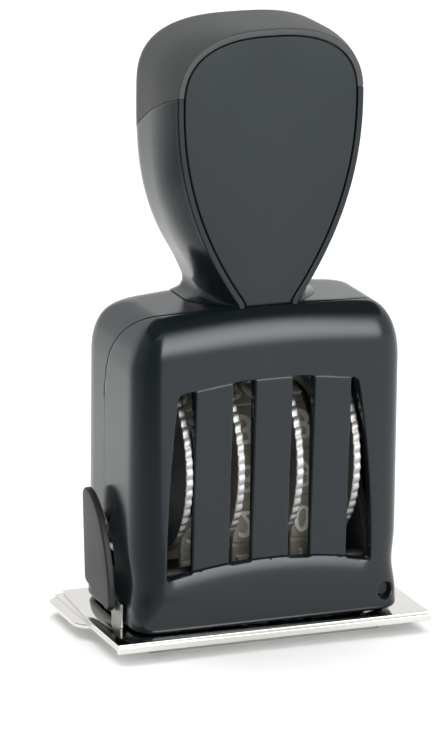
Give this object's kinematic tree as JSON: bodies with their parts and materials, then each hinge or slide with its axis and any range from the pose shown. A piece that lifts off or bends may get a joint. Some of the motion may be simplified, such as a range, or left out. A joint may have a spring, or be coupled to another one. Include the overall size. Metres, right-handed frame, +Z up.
{
  "type": "date stamp",
  "caption": "Hand date stamp with a teardrop handle, slotted housing with serrated setting wheels and rubber date bands, and a hinged metal text plate with a release lever.",
  "frame": {"origin": "middle of the date line on the printing face, which is the lowest face of the stamp", "axes": "+X to the user's right along the date line, +Y to the rear, +Z up along the handle"},
  "size_m": [0.0519, 0.0316, 0.0935],
  "materials": {
    "shell": "glossy black",
    "grip": "fine matte texture",
    "lever": "satin dark grey",
    "frame": "matte black",
    "wheel": "nickel plated",
    "plate": "polished",
    "steel": "plain",
    "band": "matte",
    "die": "matte",
    "cushion": "foam"
  },
  "bodies": {
    "housing": {"front_shell": "shell", "rear_shell": "shell", "handle_body": "shell", "handle_cap": "grip", "front_panel": "grip", "rear_panel": "grip", "handle_screw": "steel", "housing_screws": "steel", "left_cheek": "frame", "right_cheek": "frame", "tie_rod": "steel", "wheel_axle": "steel", "axle_clips": "steel", "axle_spacers": "steel", "print_bridge": "frame", "bridge_screws": "steel", "band_1": "band", "band_2": "band", "band_3": "band", "band_4": "band", "plate_pin": "steel", "lever_pin": "steel", "lever_spring": "steel"},
    "wheel_1": {"wheel_1": "wheel", "hub_1": "frame"},
    "wheel_2": {"wheel_2": "wheel", "hub_2": "frame"},
    "wheel_3": {"wheel_3": "wheel", "hub_3": "frame"},
    "wheel_4": {"wheel_4": "wheel", "hub_4": "frame"},
    "lever": {"lever": "lever"},
    "base_plate": {"base_plate": "plate", "plate_studs": "steel"},
    "text_plate": {"text_plate": "plate", "die_cushion": "cushion", "text_die": "die"}
  },
  "joints": [
    {"name": "wheel_1_spin", "type": "hinge", "parent": "housing", "child": "wheel_1", "pos_m": [0, 0.0027, 0.027], "axis": [1, 0, 0], "continuous": true},
    {"name": "wheel_2_spin", "type": "hinge", "parent": "housing", "child": "wheel_2", "pos_m": [0, 0.0027, 0.027], "axis": [1, 0, 0], "continuous": true},
    {"name": "wheel_3_spin", "type": "hinge", "parent": "housing", "child": "wheel_3", "pos_m": [0, 0.0027, 0.027], "axis": [1, 0, 0], "continuous": true},
    {"name": "wheel_4_spin", "type": "hinge", "parent": "housing", "child": "wheel_4", "pos_m": [0, 0.0027, 0.027], "axis": [1, 0, 0], "continuous": true},
    {"name": "lever_press", "type": "hinge", "parent": "housing", "child": "lever", "pos_m": [-0.0194, 0.0021, 0.0132], "axis": [0, 1, 0], "range_deg": [0, 6], "stiffness_Nm_per_rad": 0.05, "springref_deg": -5.73, "deforming": ["lever_spring"]},
    {"name": "plate_swing", "type": "hinge", "parent": "housing", "child": "base_plate", "pos_m": [0.0186, 0, 0.0066], "axis": [0, -1, 0], "range_deg": [0, 25]},
    {"name": "text_plate_slide", "type": "slide", "parent": "base_plate", "child": "text_plate", "axis": [-1, 0, 0], "range_m": [0, 0.003]}
  ]
}
